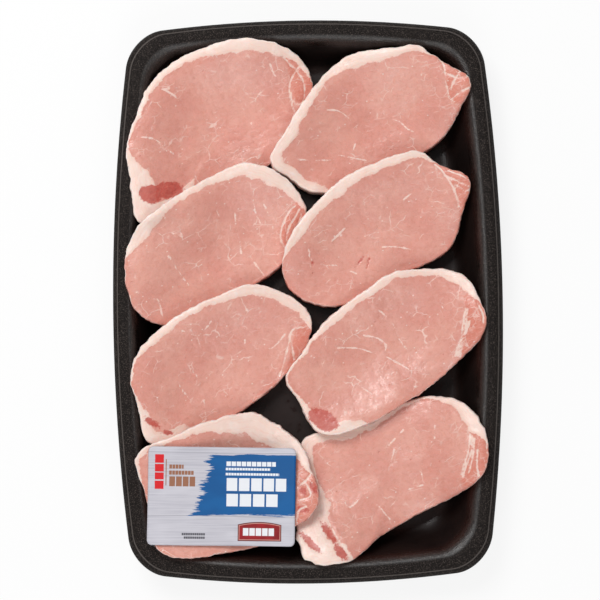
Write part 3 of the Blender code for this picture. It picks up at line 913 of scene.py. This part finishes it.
def build_chop(node, look, material):
    tree = tree_of(node)
    low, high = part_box(node)
    centre = (low + high) / 2
    seed = look["seed"]
    directions = np.arange(SPOKES) * 2 * math.pi / SPOKES
    world = directions + math.radians(look["turn"])
    circle = np.stack([np.cos(directions), np.sin(directions)])

    solid_edge = blurred_round(edge_distances(tree, centre, world), 1.6)
    width = fat_widths(look, directions)
    edge = torn_edge(solid_edge, circle, width, seed)
    radius, share_up, pull = ring_radii(edge)
    u = radius * circle[0]
    v = radius * circle[1]
    steps = (np.diff(edge * circle[0], append=0), np.diff(edge * circle[1], append=0))
    around = np.cumsum(np.hypot(*steps))

    inset = edge_insets(edge, radius)
    width = width + lumps(circle[0] * edge, circle[1] * edge, 9, seed + 9) * 1.3
    marks = {
        "inset": inset,
        "fat": width - inset,
        "seam": nearest_line(u, v, look["seams"]),
        "vein": nearest_line(u, v, look["veins"]),
        "dark": deepest_patch(u, v, look["dark"]),
        "chain": past_chain(u, v, look["chain"]),
    }

    top, under = face_heights(tree, centre, world, solid_edge, radius)
    relief = surface_relief(u, v, marks["fat"], marks["seam"], marks["dark"], seed)
    height = under + (top + relief * MM - under) * share_up
    outer = radius + side_folds(around, pull, seed)
    x = centre.x + outer * MM * np.cos(world)
    y = centre.y + outer * MM * np.sin(world)
    points = np.stack([x, y, height], 2).reshape(-1, 3)
    crown = (centre.x, centre.y, float(height[0].mean()))
    belly = (centre.x, centre.y, float(height[-1].mean()))
    mesh = make_mesh(node + "_meat", [*points, crown, belly], closed_faces(radius.shape[0]))
    add_marks(mesh, marks, u, v, height, around, float(edge.min()), seed)
    add_piece(node + "_meat", mesh, material, node)


# ---------------------------------------------------------------- tray


def tray_outline(half_x, half_y, radius):
    """Corners of radius joined by straight sides, counter-clockwise, then bowed outwards."""
    corners = ((1, 1, 0), (-1, 1, 90), (-1, -1, 180), (1, -1, 270))
    steps = (END_STEPS, SIDE_STEPS, END_STEPS, SIDE_STEPS)
    points = []
    for index, (sign_x, sign_y, start) in enumerate(corners):
        centre = Vector((sign_x * (half_x - radius), sign_y * (half_y - radius)))
        for step in range(CORNER_STEPS + 1):
            angle = math.radians(start + 90 * step / CORNER_STEPS)
            points.append(centre + radius * Vector((math.cos(angle), math.sin(angle))))
        next_x, next_y, next_start = corners[(index + 1) % 4]
        angle = math.radians(next_start)
        target = Vector((next_x * (half_x - radius), next_y * (half_y - radius)))
        target += radius * Vector((math.cos(angle), math.sin(angle)))
        last = points[-1]
        points += [last.lerp(target, step / steps[index]) for step in range(1, steps[index])]
    bowed = []
    for point in points:
        across = 1 - SIDE_BOW / half_x * (point.y / half_y) ** 2
        along = 1 - END_BOW / half_y * (point.x / half_x) ** 2
        bowed.append((point.x * across, point.y * along))
    return bowed


def build_tray(material):
    low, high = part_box("tray")
    centre = (low + high) / 2
    half_x, half_y = (high.x - low.x) / 2 / MM, (high.y - low.y) / 2 / MM
    deepest = TRAY_SECTION[-1][0]
    rings, insets = [], []
    for inset, depth in TRAY_SECTION:
        radius = RIM_RADIUS + (FLOOR_RADIUS - RIM_RADIUS) * inset / deepest
        outline = tray_outline(half_x - inset, half_y - inset, radius)
        rings.append([(x, y, high.z / MM - depth) for x, y in outline])
        insets.append(inset)
    for share in FLOOR_SHARES:
        rings.append([(x * share, y * share, z) for x, y, z in rings[len(TRAY_SECTION) - 1]])
        insets.append(deepest + FLOOR_RUN * (1 - share))
    count = len(rings[0])
    points = []
    for ring in rings:
        points += [(centre.x + x * MM, centre.y + y * MM, z * MM) for x, y, z in ring]
    points.append((centre.x, centre.y, rings[-1][0][2] * MM))
    faces = []
    for ring in range(len(rings) - 1):
        for index in range(count):
            after = (index + 1) % count
            a, b = ring * count + index, ring * count + after
            faces.append((a, b, b + count, a + count))
    last = (len(rings) - 1) * count
    faces += [(last + index, last + (index + 1) % count, len(points) - 1) for index in range(count)]
    mesh = make_mesh("foam_tray", points, faces)
    per_point = np.array([inset for inset in insets for _ in range(count)] + [MIDDLE_INSET])
    add_attribute(mesh, "inset", per_point)
    add_attribute(mesh, "place", np.array(points) / MM)
    piece = add_piece("foam_tray", mesh, material, "tray")
    shell = piece.modifiers.new("foam", "SOLIDIFY")
    shell.thickness = FOAM * MM
    shell.offset = -1
    shell.use_even_offset = True


# ---------------------------------------------------------------- label


def build_label(material):
    tree = tree_of("label")
    low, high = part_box("label")
    centre = (low + high) / 2
    turn = math.radians(LABEL_TURN)
    steps_x, steps_y = 72, 48
    across = np.linspace(-0.5, 0.5, steps_x + 1) * LABEL_SIZE[0]
    up = np.linspace(-0.5, 0.5, steps_y + 1) * LABEL_SIZE[1]
    x, y = np.meshgrid(across, up)
    # Corners are pulled in to a round outline
    over_x = np.maximum(np.abs(x) - (LABEL_SIZE[0] / 2 - LABEL_RADIUS), 0)
    over_y = np.maximum(np.abs(y) - (LABEL_SIZE[1] / 2 - LABEL_RADIUS), 0)
    far = np.hypot(over_x, over_y)
    squeeze = np.where(far > 0, np.maximum(over_x, over_y) / np.maximum(far, 1e-9), 1)
    x = np.sign(x) * (np.abs(x) - over_x * (1 - squeeze))
    y = np.sign(y) * (np.abs(y) - over_y * (1 - squeeze))
    world_x = centre.x + (x * math.cos(turn) - y * math.sin(turn)) * MM
    world_y = centre.y + (x * math.sin(turn) + y * math.cos(turn)) * MM
    pulled_x = centre.x + (world_x - centre.x) * 0.97
    pulled_y = centre.y + (world_y - centre.y) * 0.97
    face = heights(tree, pulled_x, pulled_y, False)
    for _ in range(30):
        padded = np.pad(face, 1, mode="reflect", reflect_type="odd")
        face = (padded[:-2, 1:-1] + padded[2:, 1:-1] + padded[1:-1, :-2] + padded[1:-1, 2:]) / 4
    points = np.stack([world_x, world_y, face], 2).reshape(-1, 3)
    width = steps_x + 1
    faces = [(r * width + c, r * width + c + 1, (r + 1) * width + c + 1, (r + 1) * width + c)
             for r in range(steps_y) for c in range(steps_x)]
    mesh = make_mesh("label_card", points, faces)
    add_attribute(mesh, "place", np.stack([x, y, 0 * x], 2).reshape(-1, 3))
    piece = add_piece("label_card", mesh, material, "label")
    sheet = piece.modifiers.new("card", "SOLIDIFY")
    sheet.thickness = LABEL_THICKNESS * MM
    sheet.offset = -1


# ---------------------------------------------------------------- studio


def build_studio():
    scene = bpy.context.scene
    scene.view_settings.view_transform = "Standard"
    floor_mesh = bpy.data.meshes.new("floor")
    shape = bmesh.new()
    bmesh.ops.create_grid(shape, x_segments=1, y_segments=1, size=FLOOR_HALF)
    shape.to_mesh(floor_mesh)
    shape.free()
    floor = bpy.data.objects.new("floor", floor_mesh)
    scene.collection.objects.link(floor)
    floor.location.z = CAD_BOX[0].z - FLOOR_DROP
    s = Shader("white_floor")
    s.surface.inputs["Base Color"].default_value = (0.9, 0.9, 0.9, 1)
    s.surface.inputs["Roughness"].default_value = 0.9
    glow = s.node("ShaderNodeEmission")
    glow.inputs["Strength"].default_value = 1
    rays = s.node("ShaderNodeLightPath")
    blend = s.node("ShaderNodeMixShader")
    s.set(blend.inputs[0], s.times(rays.outputs["Is Camera Ray"], FLOOR_GLOW))
    s.tree.links.new(s.surface.outputs[0], blend.inputs[1])
    s.tree.links.new(glow.outputs[0], blend.inputs[2])
    s.tree.links.new(blend.outputs[0], s.tree.nodes["Material Output"].inputs["Surface"])
    floor_mesh.materials.append(s.material)

    world = bpy.data.worlds.new("studio")
    scene.world = world
    world.use_nodes = True
    sky = world.node_tree.nodes["Background"]
    sky.inputs["Color"].default_value = (1, 1, 1, 1)
    seen = world.node_tree.nodes.new("ShaderNodeLightPath")
    strength = world.node_tree.nodes.new("ShaderNodeMapRange")
    strength.inputs["To Min"].default_value = SKY_LIGHT
    strength.inputs["To Max"].default_value = 1
    world.node_tree.links.new(seen.outputs["Is Camera Ray"], strength.inputs["Value"])
    world.node_tree.links.new(strength.outputs["Result"], sky.inputs["Strength"])

    for name, place, size, power in LAMPS:
        lamp = bpy.data.lights.new(name, "AREA")
        lamp.size = size
        lamp.energy = power
        thing = bpy.data.objects.new(name, lamp)
        scene.collection.objects.link(thing)
        thing.location = place
        thing.rotation_euler = Vector(place).to_track_quat("Z", "Y").to_euler()


def build_camera():
    """Looks down on the pack from almost straight above, leaning a little to its near end."""
    low, high = CAD_BOX
    target = Vector(((low.x + high.x) / 2, (low.y + high.y) / 2, CAMERA_TARGET_HEIGHT))
    elevation = math.radians(CAMERA_ELEVATION)
    roll = math.radians(CAMERA_ROLL)
    back = Vector((0, -math.cos(elevation), math.sin(elevation)))
    camera = bpy.data.cameras.new("camera")
    camera.sensor_width = 36
    camera.lens = CAMERA_LENS
    camera.shift_x, camera.shift_y = CAMERA_SHIFT
    thing = bpy.data.objects.new("camera", camera)
    bpy.context.scene.collection.objects.link(thing)
    turned = (-back).to_track_quat("-Z", "Y").to_matrix() @ Matrix.Rotation(roll, 3, "Z")
    thing.matrix_world = Matrix.Translation(target + back * CAMERA_DISTANCE) @ turned.to_4x4()
    bpy.context.scene.camera = thing


def main():
    meat = meat_material()
    for node, look in CHOPS.items():
        build_chop(node, look, meat)
    build_tray(foam_material())
    build_label(card_material())
    build_studio()
    build_camera()
    bpy.context.view_layer.update()


main()
